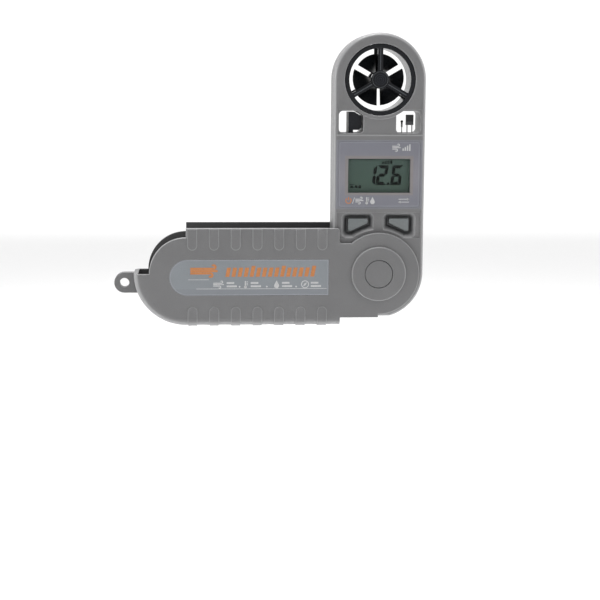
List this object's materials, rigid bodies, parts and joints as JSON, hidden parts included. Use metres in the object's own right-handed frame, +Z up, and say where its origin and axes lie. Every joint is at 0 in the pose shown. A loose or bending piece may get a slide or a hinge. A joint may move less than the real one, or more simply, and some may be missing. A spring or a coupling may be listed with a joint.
{
  "type": "handheld weather meter",
  "caption": "Folding pocket weather meter: a body with vane impeller, sensor windows, display and keys turns out of a ribbed channel sheath.",
  "frame": {"origin": "centre of the mouth of the tripod socket, in the flat on the body's butt", "axes": "+Z up along the upright body, -Y out of the display, -X along the sheath, which stands half open"},
  "size_m": [0.1395, 0.025, 0.1309],
  "materials": {
    "case_grey": "fine satin",
    "sheath_grey": "fine satin",
    "cap_grey": "fine satin",
    "key_grey": "matt",
    "face_label_blue": "satin film",
    "sheath_label_grey": "satin film",
    "clear_window": "polished",
    "display_grey": "polished",
    "inner_plastic": "satin",
    "black_plastic": "satin",
    "ring_black": "semi-gloss",
    "rotor_black": "semi-gloss",
    "board_green": "satin",
    "black_rubber": "matt",
    "steel": "satin",
    "insert_brass": "satin",
    "jewel": "polished",
    "washer_white": "smooth"
  },
  "bodies": {
    "meter": {"front_case": "case_grey", "rear_case": "case_grey", "case_seal": "black_rubber", "case_screws": "steel", "tripod_insert": "insert_brass", "face_label": "face_label_blue", "display_window": "clear_window", "display_glass": "display_grey", "display_holder": "inner_plastic", "contact_strips": "black_rubber", "main_board": "board_green", "board_components": "black_plastic", "sounder": "black_plastic", "key_switches": "black_plastic", "coin_cell": "steel", "negative_contact": "steel", "positive_contact": "steel", "sensor_header": "inner_plastic", "humidity_sensor": "black_plastic", "thermistor": "black_plastic", "compass_module": "black_plastic", "impeller_ring": "ring_black", "rear_bridge": "ring_black", "speed_pickup": "black_plastic", "front_bearing": "jewel", "rear_bearing": "jewel", "front_washer": "washer_white", "rear_washer": "washer_white"},
    "sheath": {"sheath_front": "sheath_grey", "sheath_rear": "sheath_grey", "sheath_label": "sheath_label_grey", "pivot_axle": "steel", "front_pivot_cap": "cap_grey", "rear_pivot_cap": "cap_grey"},
    "impeller": {"impeller_rotor": "rotor_black", "rotor_magnet": "steel", "impeller_pin": "steel"},
    "mode_key": {"mode_key": "key_grey"},
    "unit_key": {"unit_key": "key_grey"},
    "cover_seal": {"battery_seal": "black_rubber"},
    "battery_cover": {"battery_cover": "case_grey"}
  },
  "joints": [
    {"name": "sheath_fold", "type": "hinge", "parent": "meter", "child": "sheath", "pos_m": [0, 0, 0.0198], "axis": [0, -1, 0], "range_deg": [-90, 90]},
    {"name": "impeller_spin", "type": "hinge", "parent": "meter", "child": "impeller", "pos_m": [0, 0, 0.1063], "axis": [0, 1, 0], "continuous": true},
    {"name": "mode_key_press", "type": "slide", "parent": "meter", "child": "mode_key", "axis": [0, 1, 0], "range_m": [0, 0.0006], "stiffness_N_per_m": 750, "springref_m": -0.0006},
    {"name": "unit_key_press", "type": "slide", "parent": "meter", "child": "unit_key", "axis": [0, 1, 0], "range_m": [0, 0.0006], "stiffness_N_per_m": 750, "springref_m": -0.0006},
    {"name": "battery_cover_lift", "type": "slide", "parent": "meter", "child": "cover_seal", "axis": [0, 1, 0], "range_m": [0, 0.012]},
    {"name": "battery_cover_turn", "type": "hinge", "parent": "cover_seal", "child": "battery_cover", "pos_m": [0, 0, 0.0638], "axis": [0, 1, 0], "range_deg": [0, 45]}
  ]
}
